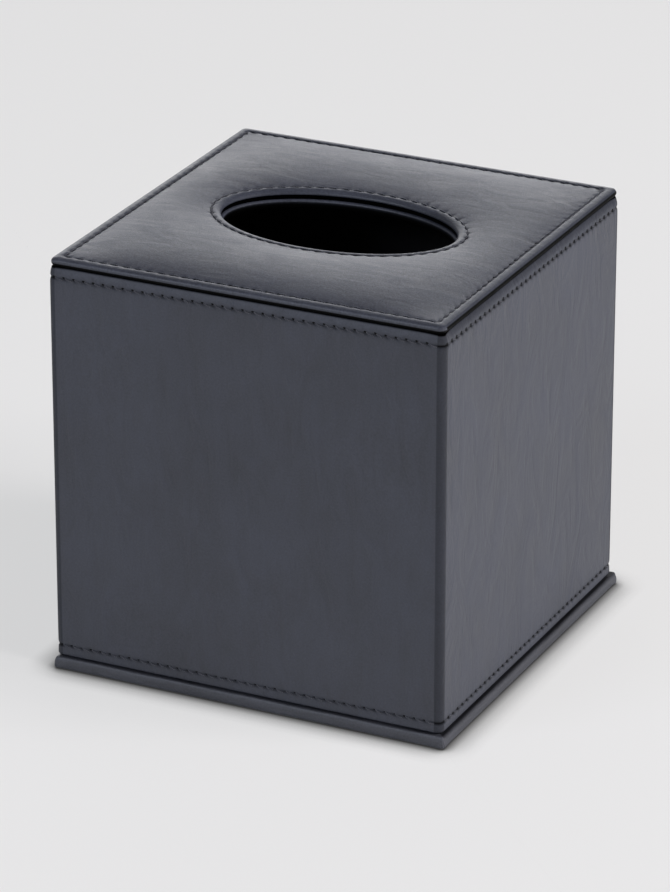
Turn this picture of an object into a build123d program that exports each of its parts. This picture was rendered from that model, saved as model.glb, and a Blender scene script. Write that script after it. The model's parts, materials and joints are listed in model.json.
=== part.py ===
from build123d import *
import math
import os

# Leather-covered cube box for a cube carton of tissues, in millimetres, +Z up.
# The box is a board carcass in one leather skin, with a padded panel glued on top of it.
# It is joined along its left foot to a leather-covered base plate, and opens like a book.
# Origin: centre of the base plate's outline, on the table.

# ---- cover, the upper part
COVER_WIDTH = 140.0  # along X, over the leather
COVER_DEPTH = 140.0  # along Y, over the leather
COVER_HEIGHT = 137.2  # from the foot to the top of the turned-in leather
CORNER_RADIUS = 2.4  # upright corners, over the leather
TOP_ROLL = 1.8  # rounding of the skin over the carcass's top edge
FOOT_ROLL = 0.6  # rounding of the skin under the walls' feet
WALL_BOARD = 3.0
TOP_BOARD = 1.5
LEATHER = 0.7
LINING = 0.7
TOP_HEM = 12.0  # width of the skin turned in over the top board
FOOT_HEM = 10.0  # height of the skin turned up inside the walls
SEAM_SLIT = 0.3  # butt joint of the skin, at the back
SEAM_FROM_CORNER = 18.0
LINING_FIT = 0.15  # room between a lining and the edge of the hem beside it

# ---- base plate
BASE_LIP = 1.4  # how far the base stands out at the front, right and back
BASE_CORNER = 1.0
BASE_BOARD = 2.5
BASE_TOP_ROLL = 0.6
BASE_FOOT_ROLL = 0.6
BASE_HEM = 15.0  # width of the leather turned under the base
FELT_PROUD = 0.3  # how far the felt stands out below the turned-under leather
FELT_FIT = 0.5
CLOSING_GAP = 0.5  # between the base and the cover's foot
LINER_BOARD = 1.5  # raised board on the base that finds its place inside the walls
LINER_SUEDE = 0.6
LINER_FIT = 0.5

# ---- leather hinge along the left foot
HINGE_END_GAP = 3.0  # from the cover's front and back faces to the hinge's ends
HINGE_FIT = 0.1

# ---- magnets that hold the right side shut
MAGNET_LENGTH = 15.0
MAGNET_THICKNESS = 2.0
MAGNET_HEIGHT = 3.0
KEEPER_WIDTH = 4.0  # the base's magnets lie flat
MAGNET_FIT = 0.1
MAGNET_FROM_MIDDLE = 45.0
KEEPER_THICKNESS = 1.8

# ---- dispensing opening, an ellipse along X
OPENING_LENGTH = 82.0  # in the padded panel, over its leather
OPENING_WIDTH = 50.0
RIM_STEP = 0.6  # the carcass's own opening is this much smaller all round
RIM_ROLL = 0.9
RIM_TOP_HEM = 8.0
RIM_UNDER_HEM = 6.0

# ---- padded top panel
PANEL_INSET = 0.4  # its edge stands back from the cover's faces
PANEL_CORNER = 2.2
PANEL_BOARD = 1.3
PANEL_ROLL = 1.9  # rounding of its upper edge
PANEL_FOOT_ROLL = 0.6
PANEL_HEM = 12.0
PANEL_OPENING_HEM = 8.0
LIP_ROLL = 1.0  # rounding of the leather into the opening
CROWN = 1.9  # height of the pad over the edge stitching
CROWN_START = 0.7  # from the edge stitching to the foot of the crown
CROWN_SLOPE = 14.0  # width of the slope up from the edge
CROWN_BLEND = 24.0  # radius between the slope and the plateau
RING_RISE = 0.6  # height of the opening's stitched ring over the edge stitching
RING_SLOPE = 10.0  # width of the slope down to the ring

# ---- stitching
THREAD = 0.45
THREAD_PROUD = 0.3
WALL_STITCH_PITCH = 3.55
PANEL_STITCH_PITCH = 4.2
STITCH_GAP = 0.9  # between the ends of two stitches
TOP_ROW_DROP = 3.7  # from the carcass's top edge to the upper row
FOOT_ROW_RISE = 3.5  # from the cover's foot to the lower row
PANEL_ROW_INSET = 4.0  # from the cover's faces
RING_ROW_OFFSET = 3.3  # from the edge of the opening

# ---- what follows from them
BASE_WIDTH = COVER_WIDTH + BASE_LIP
BASE_DEPTH = COVER_DEPTH + 2 * BASE_LIP
COVER_X = -BASE_LIP / 2  # the cover's middle: flush with the base at the left
Z_HEM = FELT_PROUD
Z_BASE_BOARD = Z_HEM + LEATHER  # the felt fills the space below it
Z_BASE_TOP = Z_BASE_BOARD + BASE_BOARD + LEATHER
Z_FOLD = Z_BASE_TOP + CLOSING_GAP / 2
Z_FOOT = Z_BASE_TOP + CLOSING_GAP
Z_TOP = Z_FOOT + COVER_HEIGHT
Z_WALL = Z_FOOT + LEATHER
Z_TOP_BOARD = Z_TOP - LEATHER - TOP_BOARD
Z_CEILING = Z_TOP_BOARD - LINING
Z_PANEL_EDGE = Z_TOP + 2 * LEATHER + PANEL_BOARD
Z_RING = Z_PANEL_EDGE + RING_RISE
Z_CROWN = Z_PANEL_EDGE + CROWN
WALL = LEATHER + WALL_BOARD + LINING
OPENING_A = OPENING_LENGTH / 2
OPENING_B = OPENING_WIDTH / 2
LEFT_FACE = COVER_X - COVER_WIDTH / 2
RIGHT_FACE = COVER_X + COVER_WIDTH / 2
HINGE_LENGTH = COVER_DEPTH - 2 * HINGE_END_GAP


def block(x0, x1, y0, y1, z0, z1):
    """A box between two corners."""
    size = (x1 - x0, y1 - y0, z1 - z0)
    return Pos((x0 + x1) / 2, (y0 + y1) / 2, (z0 + z1) / 2) * Box(*size)


def square(inset, z0, z1, corner=0.0):
    """A block of the cover's outline, drawn in by inset."""
    outline = Rectangle(COVER_WIDTH - 2 * inset, COVER_DEPTH - 2 * inset)
    if corner > 0:
        outline = fillet(outline.vertices(), corner)
    return extrude(Pos(COVER_X, 0, z0) * outline, z1 - z0)


def plate(inset, z0, z1, corner=0.0):
    """A block of the base's outline, drawn in by inset."""
    outline = Rectangle(BASE_WIDTH - 2 * inset, BASE_DEPTH - 2 * inset)
    if corner > 0:
        outline = fillet(outline.vertices(), corner)
    return extrude(Pos(0, 0, z0) * outline, z1 - z0)


def oval(grow, z0, z1):
    """A column of the panel's opening, grown by grow all round."""
    outline = Ellipse(OPENING_A + grow, OPENING_B + grow)
    return extrude(Pos(COVER_X, 0, z0) * outline, z1 - z0)


def edges_at(solid, z):
    """The edges of a solid that lie wholly at one height."""
    return solid.edges().filter_by_position(Axis.Z, z - 1e-4, z + 1e-4)


# ---------------------------------------------------------------- cover: boards


def wall_boards():
    """Front and back run the full width, and the sides stand between them."""
    solid = square(LEATHER, Z_WALL, Z_TOP_BOARD, CORNER_RADIUS - LEATHER)
    half_x = COVER_WIDTH / 2 - LEATHER
    half_y = COVER_DEPTH / 2 - LEATHER
    x0, x1 = COVER_X - half_x, COVER_X + half_x
    front = solid & block(x0, x1, -half_y, -half_y + WALL_BOARD, Z_WALL, Z_TOP_BOARD)
    back = solid & block(x0, x1, half_y - WALL_BOARD, half_y, Z_WALL, Z_TOP_BOARD)
    inner_y = half_y - WALL_BOARD
    left = block(x0, x0 + WALL_BOARD, -inner_y, inner_y, Z_WALL, Z_TOP_BOARD)
    right = block(x1 - WALL_BOARD, x1, -inner_y, inner_y, Z_WALL, Z_TOP_BOARD)
    for y in (-MAGNET_FROM_MIDDLE, MAGNET_FROM_MIDDLE):
        right -= magnet(y, MAGNET_FIT)
    return front, back, left, right


def top_board():
    board = square(LEATHER, Z_TOP_BOARD, Z_TOP - LEATHER, CORNER_RADIUS - LEATHER)
    board = fillet(edges_at(board, Z_TOP - LEATHER), TOP_ROLL - LEATHER)
    return board - oval(LEATHER - RIM_STEP, Z_TOP_BOARD, Z_TOP)


def magnet(y, room=0.0):
    """An upright bar magnet in the foot of the right wall board."""
    x = RIGHT_FACE - LEATHER - WALL_BOARD / 2
    half_t = MAGNET_THICKNESS / 2 + room
    half_l = MAGNET_LENGTH / 2 + room
    top = Z_WALL + MAGNET_HEIGHT + room
    return block(x - half_t, x + half_t, y - half_l, y + half_l, Z_WALL, top)


# ---------------------------------------------------------------- cover: leather and linings


def side_leather():
    """One skin round the four walls, turned in at the top and up inside at the foot."""
    skin = square(0, Z_FOOT, Z_TOP, CORNER_RADIUS)
    skin = fillet(edges_at(skin, Z_TOP), TOP_ROLL)
    skin = fillet(edges_at(skin, Z_FOOT), FOOT_ROLL)
    core = square(LEATHER, Z_WALL, Z_TOP - LEATHER, CORNER_RADIUS - LEATHER)
    core = fillet(edges_at(core, Z_TOP - LEATHER), TOP_ROLL - LEATHER)
    hem_face = LEATHER + WALL_BOARD
    hem = square(hem_face, Z_FOOT, Z_FOOT + FOOT_HEM)
    skin = skin - core + hem
    skin -= square(hem_face + LEATHER, Z_FOOT, Z_FOOT + FOOT_HEM)
    skin -= square(LEATHER + TOP_HEM, Z_TOP - LEATHER, Z_TOP)
    half = HINGE_LENGTH / 2
    skin += block(LEFT_FACE, LEFT_FACE + LEATHER, -half, half, Z_FOLD, Z_WALL + FOOT_ROLL)
    seam_x = LEFT_FACE + SEAM_FROM_CORNER
    back = COVER_DEPTH / 2
    slit_end = back - LEATHER - TOP_HEM
    skin -= block(seam_x, seam_x + SEAM_SLIT, slit_end, back, Z_FOOT, Z_TOP)
    return skin


def wall_linings():
    """Suede on the walls' inner faces, from the foot's hem to the ceiling."""
    z0 = Z_FOOT + FOOT_HEM + LINING_FIT
    half_x = COVER_WIDTH / 2 - LEATHER - WALL_BOARD
    half_y = COVER_DEPTH / 2 - LEATHER - WALL_BOARD
    x0, x1 = COVER_X - half_x, COVER_X + half_x
    front = block(x0, x1, -half_y, -half_y + LINING, z0, Z_CEILING)
    back = block(x0, x1, half_y - LINING, half_y, z0, Z_CEILING)
    inner_y = half_y - LINING
    left = block(x0, x0 + LINING, -inner_y, inner_y, z0, Z_CEILING)
    right = block(x1 - LINING, x1, -inner_y, inner_y, z0, Z_CEILING)
    return front, back, left, right


def ceiling_lining():
    sheet = square(LEATHER + WALL_BOARD, Z_CEILING, Z_TOP_BOARD)
    return sheet - oval(RIM_UNDER_HEM + LINING_FIT - RIM_STEP, Z_CEILING, Z_TOP_BOARD)


def opening_rim():
    """Leather wrapped round the edge of the carcass's own opening."""
    rim = oval(LEATHER - RIM_STEP, Z_CEILING, Z_TOP)
    rim += oval(RIM_TOP_HEM - RIM_STEP, Z_TOP - LEATHER, Z_TOP)
    rim += oval(RIM_UNDER_HEM - RIM_STEP, Z_CEILING, Z_TOP_BOARD)
    rim -= oval(-RIM_STEP, Z_CEILING, Z_TOP)
    inner = [e for z in (Z_CEILING, Z_TOP) for e in inner_edges(rim, z)]
    return fillet(inner, RIM_ROLL)


def inner_edges(solid, z):
    """The edge of the opening at one height: the shortest one there."""
    return edges_at(solid, z).sort_by(Edge.length)[:1]


# ---------------------------------------------------------------- padded panel


def crown(shrink):
    """The pad's swelling over the panel's flat border, drawn in by shrink."""
    foot_inset = PANEL_ROW_INSET + CROWN_START
    z0 = Z_PANEL_EDGE - shrink
    z1 = Z_CROWN - shrink
    foot = Rectangle(COVER_WIDTH - 2 * foot_inset, COVER_DEPTH - 2 * foot_inset)
    foot = fillet(foot.vertices(), CROWN_SLOPE)
    head_inset = foot_inset + CROWN_SLOPE
    head = Rectangle(COVER_WIDTH - 2 * head_inset, COVER_DEPTH - 2 * head_inset)
    head = fillet(head.vertices(), CROWN_SLOPE)
    swell = loft([Pos(COVER_X, 0, z0) * foot, Pos(COVER_X, 0, z1) * head], ruled=True)
    return fillet(edges_at(swell, z1), CROWN_BLEND)


def ring_hollow(shrink):
    """The pad's slope down to the stitched ring round the opening."""
    z0 = Z_RING - shrink
    z1 = z0 + 2 * (Z_CROWN - Z_RING)
    ring_a = OPENING_A + RING_ROW_OFFSET + CROWN_START
    ring_b = OPENING_B + RING_ROW_OFFSET + CROWN_START
    reach = 2 * RING_SLOPE
    low = Pos(COVER_X, 0, z0) * Ellipse(ring_a, ring_b)
    high = Pos(COVER_X, 0, z1) * Ellipse(ring_a + reach, ring_b + reach)
    return loft([low, high], ruled=True)


def panel_form(shrink, z0):
    """The panel's whole form, drawn in by shrink on every outer face."""
    corner = PANEL_CORNER - shrink
    edge = Z_PANEL_EDGE - shrink
    form = square(PANEL_INSET + shrink, z0, edge, corner)
    form = fillet(edges_at(form, edge), PANEL_ROLL - shrink)
    form += crown(shrink)
    form -= ring_hollow(shrink)
    return form


def panel_board():
    z1 = Z_TOP + LEATHER + PANEL_BOARD
    board = panel_form(LEATHER, Z_TOP + LEATHER)
    board &= square(0, Z_TOP + LEATHER, z1)
    return board - oval(LEATHER, Z_TOP, Z_CROWN)


def foam_pad():
    z0 = Z_TOP + LEATHER + PANEL_BOARD
    pad = panel_form(LEATHER, Z_TOP + LEATHER)
    pad &= square(0, z0, Z_CROWN)
    return pad - oval(LEATHER, Z_TOP, Z_CROWN)


def panel_leather():
    skin = panel_form(0, Z_TOP)
    skin = fillet(edges_at(skin, Z_TOP), PANEL_FOOT_ROLL)
    skin -= oval(0, Z_TOP, Z_CROWN + LEATHER)
    skin = fillet(inner_edges(skin, Z_RING), LIP_ROLL)
    core = panel_form(LEATHER, Z_TOP + LEATHER) - oval(LEATHER, Z_TOP, Z_CROWN)
    window = square(PANEL_INSET + PANEL_HEM, Z_TOP, Z_TOP + LEATHER)
    window -= oval(PANEL_OPENING_HEM, Z_TOP, Z_TOP + LEATHER)
    return skin - core - window


# ---------------------------------------------------------------- stitching


def stitch(length):
    """One stitch, lying along X with its flat side on Z = 0."""
    return extrude(SlotOverall(length, THREAD), THREAD_PROUD)


def row(length, pitch):
    """Stations along a straight row, evenly spread about its middle."""
    count = max(1, int(length / pitch))
    step = length / count
    return [(i + 0.5) * step - length / 2 for i in range(count)]


def wall_row(z):
    """A row of stitches round the four walls at one height."""
    stitches = []
    thread = stitch(WALL_STITCH_PITCH - STITCH_GAP)
    spans = ((COVER_WIDTH, COVER_DEPTH, 0), (COVER_DEPTH, COVER_WIDTH, 90))
    for along, across, turn in spans:
        for side in (0, 180):
            face = Pos(COVER_X, 0, z) * Rot(0, 0, turn + side) * Pos(0, -across / 2, 0)
            for x in row(along - 2 * CORNER_RADIUS, WALL_STITCH_PITCH):
                stitches.append(face * Pos(x, 0, 0) * Rot(90, 0, 0) * thread)
    return Compound(children=stitches)


def panel_edge_row():
    """Stitches along the four sides of the panel."""
    stitches = []
    thread = stitch(PANEL_STITCH_PITCH - STITCH_GAP)
    spans = ((COVER_WIDTH, COVER_DEPTH, 0), (COVER_DEPTH, COVER_WIDTH, 90))
    for along, across, turn in spans:
        length = along - 2 * PANEL_ROW_INSET
        offset = across / 2 - PANEL_ROW_INSET
        for side in (0, 180):
            place = Pos(COVER_X, 0, Z_PANEL_EDGE) * Rot(0, 0, turn + side)
            for x in row(length, PANEL_STITCH_PITCH):
                stitches.append(place * Pos(x, -offset, 0) * thread)
    return Compound(children=stitches)


def opening_row():
    """Stitches round the opening, a fixed step apart along the ellipse."""
    a = OPENING_A + RING_ROW_OFFSET
    b = OPENING_B + RING_ROW_OFFSET
    path = Ellipse(a, b).edge()
    count = int(path.length / PANEL_STITCH_PITCH)
    thread = stitch(PANEL_STITCH_PITCH - STITCH_GAP)
    stitches = []
    for i in range(count):
        at = path.position_at(i / count)
        way = path.tangent_at(i / count)
        turn = math.degrees(math.atan2(way.Y, way.X))
        stitches.append(Pos(COVER_X + at.X, at.Y, Z_RING) * Rot(0, 0, turn) * thread)
    return Compound(children=stitches)


# ---------------------------------------------------------------- base


def keeper(y, room=0.0):
    """A flat magnet let into the base board, under the one in the cover."""
    x = RIGHT_FACE - LEATHER - WALL_BOARD / 2
    half_w = KEEPER_WIDTH / 2 + room
    half_l = MAGNET_LENGTH / 2 + room
    z1 = Z_BASE_TOP - LEATHER
    return block(x - half_w, x + half_w, y - half_l, y + half_l, z1 - KEEPER_THICKNESS - room, z1)


def base_board():
    board = plate(LEATHER, Z_BASE_BOARD, Z_BASE_TOP - LEATHER, BASE_CORNER - LEATHER)
    for y in (-MAGNET_FROM_MIDDLE, MAGNET_FROM_MIDDLE):
        board -= keeper(y, MAGNET_FIT)
    return board


def base_leather():
    """Leather over the base board, turned under, with a notch for the hinge at the left."""
    skin = plate(0, Z_HEM, Z_BASE_TOP, BASE_CORNER)
    skin = fillet(edges_at(skin, Z_BASE_TOP), BASE_TOP_ROLL)
    skin = fillet(edges_at(skin, Z_HEM), BASE_FOOT_ROLL)
    skin -= plate(LEATHER, Z_BASE_BOARD, Z_BASE_TOP - LEATHER, BASE_CORNER - LEATHER)
    skin -= plate(LEATHER + BASE_HEM, Z_HEM, Z_BASE_BOARD)
    half = HINGE_LENGTH / 2 + HINGE_FIT
    left = -BASE_WIDTH / 2
    skin -= block(left, left + LEATHER, -half, half, Z_HEM, Z_BASE_TOP)
    skin -= block(left, left + LEATHER + BASE_HEM, -half, half, Z_HEM, Z_BASE_BOARD)
    return skin


def hinge_leather():
    """The skin's tail below the fold line, round the base's left edge and under it."""
    half = HINGE_LENGTH / 2
    left = -BASE_WIDTH / 2
    tail = block(left, left + LEATHER, -half, half, Z_HEM, Z_FOLD)
    tail += block(left, left + BASE_HEM, -half, half, Z_HEM, Z_BASE_BOARD)
    corner = tail.edges().filter_by(Axis.Y).sort_by(Axis.Z)[:2].sort_by(Axis.X)[:1]
    return fillet(corner, BASE_FOOT_ROLL)


def base_felt():
    return plate(LEATHER + BASE_HEM + FELT_FIT, 0, Z_BASE_BOARD)


def liner(z0, z1):
    """A sheet that fits inside the closed cover's walls."""
    return square(WALL + LINER_FIT, z0, z1)


# ---------------------------------------------------------------- writing the sub-parts


def pair(make):
    """One piece at each of the two magnet places."""
    return Compound(children=[make(y) for y in (-MAGNET_FROM_MIDDLE, MAGNET_FROM_MIDDLE)])


def sub_parts():
    front, back, left, right = wall_boards()
    front_suede, back_suede, left_suede, right_suede = wall_linings()
    liner_top = Z_BASE_TOP + LINER_BOARD
    return {
        "front_wall_board": front,
        "back_wall_board": back,
        "left_wall_board": left,
        "right_wall_board": right,
        "top_board": top_board(),
        "side_leather": side_leather(),
        "front_lining": front_suede,
        "back_lining": back_suede,
        "left_lining": left_suede,
        "right_lining": right_suede,
        "ceiling_lining": ceiling_lining(),
        "opening_rim_leather": opening_rim(),
        "panel_board": panel_board(),
        "foam_pad": foam_pad(),
        "panel_leather": panel_leather(),
        "wall_top_stitching": wall_row(Z_TOP - TOP_ROW_DROP),
        "wall_foot_stitching": wall_row(Z_FOOT + FOOT_ROW_RISE),
        "panel_edge_stitching": panel_edge_row(),
        "opening_stitching": opening_row(),
        "cover_magnets": pair(magnet),
        "base_magnets": pair(keeper),
        "base_board": base_board(),
        "base_leather": base_leather(),
        "hinge_leather": hinge_leather(),
        "base_felt": base_felt(),
        "floor_liner_board": liner(Z_BASE_TOP, liner_top),
        "floor_suede": liner(liner_top, liner_top + LINER_SUEDE),
    }


os.makedirs("parts", exist_ok=True)
for name, shape in sub_parts().items():
    export_step(shape, f"parts/{name}.step")
print(f"hinge axis at x {LEFT_FACE:.3f} z {Z_FOLD:.3f}, top of the pad at z {Z_CROWN:.3f}")
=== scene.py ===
import json
import math

import bmesh
import bpy
import numpy as np
from mathutils import Matrix, Vector


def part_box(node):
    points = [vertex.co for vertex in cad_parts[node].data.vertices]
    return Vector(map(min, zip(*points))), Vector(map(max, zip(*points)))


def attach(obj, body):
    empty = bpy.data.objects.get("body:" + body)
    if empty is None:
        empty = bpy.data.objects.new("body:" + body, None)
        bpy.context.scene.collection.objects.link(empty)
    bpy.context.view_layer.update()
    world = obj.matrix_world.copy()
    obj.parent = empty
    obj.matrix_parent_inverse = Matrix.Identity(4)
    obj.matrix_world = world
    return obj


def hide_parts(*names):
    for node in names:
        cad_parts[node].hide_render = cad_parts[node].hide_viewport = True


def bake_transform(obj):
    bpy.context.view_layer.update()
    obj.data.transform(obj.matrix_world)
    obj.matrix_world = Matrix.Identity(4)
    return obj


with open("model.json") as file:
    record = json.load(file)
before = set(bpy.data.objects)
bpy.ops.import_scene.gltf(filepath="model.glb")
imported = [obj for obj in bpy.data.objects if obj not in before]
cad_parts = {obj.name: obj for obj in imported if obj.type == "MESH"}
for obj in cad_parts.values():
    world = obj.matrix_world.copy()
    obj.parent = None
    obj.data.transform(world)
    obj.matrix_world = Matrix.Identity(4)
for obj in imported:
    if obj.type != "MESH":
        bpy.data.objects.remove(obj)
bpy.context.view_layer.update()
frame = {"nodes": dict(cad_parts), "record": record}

# A leather-covered cube box for tissues, hinged at its left foot on a base plate.
# Sizes here are in millimetres, and meshes in metres.

MM = 0.001
LEATHER = 0.7  # thickness of every skin
WALL_BOARD = 3.0
NODES = frame["nodes"]


def cad(node):
    """A CAD node's lowest and highest corner, in millimetres."""
    lo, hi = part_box(node)
    return np.array(lo) / MM, np.array(hi) / MM


def step(edge0, edge1, x):
    """0 below edge0 and 1 above edge1, turning smoothly between them."""
    t = np.clip((x - edge0) / (edge1 - edge0), 0, 1)
    return t * t * (3 - 2 * t)


def hump(x, width):
    """1 at 0, falling off to both sides."""
    return np.exp(-((x / width) ** 2))


def quarter(steps):
    """A quarter turn's two falls, 1 less the cosine and 1 less the sine, for a profile's rolls."""
    turns = [math.radians(90 * k / steps) for k in range(steps + 1)]
    return [(1 - math.cos(a), 1 - math.sin(a)) for a in turns]


# ---------------------------------------------------------------- sizes

SKIN_LO, SKIN_HI = cad("side_leather")
PANEL_LO, PANEL_HI = cad("panel_leather")
BASE_LO, BASE_HI = cad("base_leather")
HINGE_LO, HINGE_HI = cad("hinge_leather")
MIDDLE = (SKIN_LO[0] + SKIN_HI[0]) / 2  # of the cover, along X
HALF = (SKIN_HI[0] - SKIN_LO[0]) / 2
LEFT = SKIN_LO[0]
TOP = SKIN_HI[2]
FOLD = SKIN_LO[2]  # where the hinge bends
FOOT = cad("front_wall_board")[0][2] - LEATHER
EDGE_SEAM = cad("panel_edge_stitching")[0][2]
RING_SEAM = cad("opening_stitching")[0][2]
UPPER_ROW, FOOT_ROW = (
    sum(corner[2] for corner in cad(row)) / 2
    for row in ("wall_top_stitching", "wall_foot_stitching")
)
PANEL_INSET = HALF - (PANEL_HI[0] - PANEL_LO[0]) / 2

CORNER = 2.4  # radius of the walls' upright corners
PANEL_CORNER = 2.3
BASE_CORNER = 1.0
FOOT_ROLL = 0.6  # rounding of a skin's lower edge
FOOT_HEM = 10.0  # height of the walls' skin turned up inside
BASE_HEM = 15.0  # width of the base's leather turned under
BUTT_JOINT = 18.0  # from the left corner, at the back
HOLE_A, HOLE_B = 41.0, 25.0  # half the opening's length and width
RIM_STEP = 0.6  # the carcass's own opening is smaller by this all round
RING_OFFSET = 3.3  # from the opening's edge to its stitches
ROW_INSET = 4.0  # from the walls' faces to the panel's edge stitches
PAD_START = 0.7  # from a sewn row to the foot of the pad
WALL_STITCHES, WALL_ROW = 38, 135.2
PANEL_STITCHES, PANEL_ROW = 31, 132.0
RING_STITCHES = 54
WALL_PITCH, PANEL_PITCH = WALL_ROW / WALL_STITCHES, PANEL_ROW / PANEL_STITCHES


# ---------------------------------------------------------------- finishes


def add_node(tree, kind, settings, sockets):
    """A node with its settings and its sockets' values or links."""
    made = tree.nodes.new(kind)
    for key, value in (settings or {}).items():
        setattr(made, key, value)
    for key, value in (sockets or {}).items():
        if isinstance(value, bpy.types.NodeSocket):
            tree.links.new(value, made.inputs[key])
        else:
            made.inputs[key].default_value = value
    return made


class Tone:
    """A number that varies over a surface, with Python's operators."""

    def __init__(self, finish, socket):
        self.finish, self.socket = finish, socket

    def sum(self, operation, *values):
        return self.finish.node("ShaderNodeMath", {"operation": operation}, dict(enumerate(values)))

    def __add__(self, other):
        return self.sum("ADD", self, other)

    def __sub__(self, other):
        return self.sum("SUBTRACT", self, other)

    def __rsub__(self, other):
        return self.sum("SUBTRACT", other, self)

    def __mul__(self, other):
        return self.sum("MULTIPLY", self, other)

    def __pow__(self, other):
        return self.sum("POWER", self, other)

    def __rpow__(self, other):
        return self.sum("POWER", other, self)

    def __gt__(self, other):
        return self.sum("GREATER_THAN", self, other)

    def __lt__(self, other):
        return self.sum("LESS_THAN", self, other)

    __radd__, __rmul__ = __add__, __mul__

    def clamp(self):
        return self.sum("MAXIMUM", self.sum("MINIMUM", self, 1.0), 0.0)

    def swing(self, amount):
        """How far a noise lies from its middle, times an amount."""
        return (self - 0.5) * amount


class Finish:
    """The node tree of a material, or of the world."""

    def __init__(self, name, owners=bpy.data.materials, coordinates="Object"):
        self.owner = owners.new(name)
        self.owner.use_nodes = True
        self.tree = self.owner.node_tree
        self.tree.nodes.clear()
        self.place = self.node("ShaderNodeTexCoord", out=coordinates)

    def node(self, kind, settings=None, sockets=None, out=0):
        """A node's output as a Tone, or the node itself where it has none."""
        plain = {k: v.socket if isinstance(v, Tone) else v for k, v in (sockets or {}).items()}
        made = add_node(self.tree, kind, settings, plain)
        return Tone(self, made.outputs[out]) if made.outputs else made

    def stretched(self, x, y, z):
        """Coordinates with a pattern's own number of periods a metre along each axis."""
        return self.node("ShaderNodeMapping", None, {"Vector": self.place, "Scale": (x, y, z)})

    def even(self, periods):
        return self.stretched(periods, periods, periods)

    def noise(self, where, detail=2.0, rough=0.5, warp=0.0):
        return self.node("ShaderNodeTexNoise", None, {
            "Vector": where, "Scale": 1.0, "Detail": detail, "Roughness": rough, "Distortion": warp,
        })

    def cells(self, where):
        sockets = {"Vector": where, "Randomness": 1.0}
        return self.node("ShaderNodeTexVoronoi", None, sockets, "Distance")

    def blend(self, factor, a, b):
        """From colour a to colour b."""
        return self.node("ShaderNodeMix", {"data_type": "RGBA"}, {0: factor, 6: a, 7: b}, 2)

    def ramp(self, value, start, end, first, last):
        """From first at start to last at end, smoothly."""
        return self.node("ShaderNodeMapRange", {"interpolation_type": "SMOOTHSTEP"}, {
            "Value": value, "From Min": start, "From Max": end, "To Min": first, "To Max": last,
        })

    def bump(self, height, distance, strength, under=None):
        sockets = {"Height": height, "Distance": distance * MM, "Strength": strength}
        if under is not None:
            sockets["Normal"] = under
        return self.node("ShaderNodeBump", None, sockets)

    def surface(self, **sockets):
        """The Principled shader, linked to the output."""
        names = {key.replace("_", " ").replace(" level", " Level"): v for key, v in sockets.items()}
        shader = self.node("ShaderNodeBsdfPrincipled", None, names)
        self.node("ShaderNodeOutputMaterial", None, {"Surface": shader})
        return self.owner


def grey(value, blue=0.0):
    """A neutral linear colour, a little bluer where asked."""
    return (value * (1 - blue), value * (1 - blue * 0.55), value * (1 + blue), 1.0)


def leather(name, tone, grain, rough=0.44, stain=0.5, hand=0.6, speckle=0.8, blue=0.2):
    """Dyed, lightly coated leather. Grain is the streaks' periods a metre along X, Y and Z, stain
    and speckle how uneven the dye is, and hand how deep the streaks lie, in millimetres."""
    f = Finish(name)
    cloud = f.noise(f.even(28), 3.0)
    streak = f.noise(f.stretched(*grain), 4.0, rough=0.62, warp=1.2)
    brush = f.noise(f.stretched(*[4.5 * periods for periods in grain]), 3.0, rough=0.7, warp=0.4)
    pores = f.noise(f.even(1500), 2.0, rough=0.6)
    pebble = f.cells(f.even(1050))
    flaw = f.cells(f.even(95))
    fleck = (flaw < 0.028) * (f.noise(f.stretched(31, 37, 33), 0.0) > 0.56)
    shade = 0.45 + cloud.swing(0.6) + streak.swing(1.5) * stain + brush.swing(0.4) * stain
    shade += pores.swing(speckle)
    colour = f.blend(shade.clamp(), grey(tone * 0.55, blue), grey(tone * 1.55, blue))
    colour = f.blend(fleck * 0.5, colour, grey(tone * 4.5))
    # drawn is painted shade in seams, grooves, needle holes, recesses and on the walls' corners:
    # dark there, and dull, as metallic under a nearly black colour takes the gloss out
    drawn = f.node("ShaderNodeAttribute", {"attribute_name": "drawn"}, out="Fac")
    colour = f.blend(drawn.clamp(), colour, grey(tone * 0.05))
    shine = rough + cloud.swing(0.12) + streak.swing(0.26) + brush.swing(0.07) + pebble * 0.04
    skin = f.bump(pebble * 0.6 + pores * 0.5, 0.07, 0.6)
    worked = f.bump(streak + brush * 0.15, hand, 0.6, skin)
    return f.surface(
        Base_Color=colour, Roughness=shine + drawn * 0.3, Metallic=drawn.clamp() * 0.95,
        Normal=worked,
    )


def suede(name, tone):
    f = Finish(name)
    nap = f.noise(f.even(900), 4.0, rough=0.7)
    brushed = f.noise(f.stretched(40, 40, 25), 3.0)
    mixed = (nap * 0.5 + brushed * 0.5).clamp()
    return f.surface(
        Base_Color=f.blend(mixed, grey(tone * 0.55, 0.05), grey(tone * 1.5, 0.05)),
        Roughness=0.86 + nap * 0.1, Normal=f.bump(nap, 0.25, 0.6),
        Specular_IOR_level=0.2, Sheen_Weight=0.25, Sheen_Roughness=0.4,
    )


def felt(name, tone):
    f = Finish(name)
    fibre = f.noise(f.stretched(420, 420, 1400), 6.0, rough=0.75, warp=1.4)
    tuft = f.noise(f.even(90), 2.0)
    return f.surface(
        Base_Color=f.blend((fibre * 0.8 + tuft * 0.2).clamp(), grey(tone * 0.5), grey(tone * 1.7)),
        Roughness=0.93, Normal=f.bump(fibre, 0.4, 0.7), Specular_IOR_level=0.15, Sheen_Weight=0.3,
    )


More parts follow.
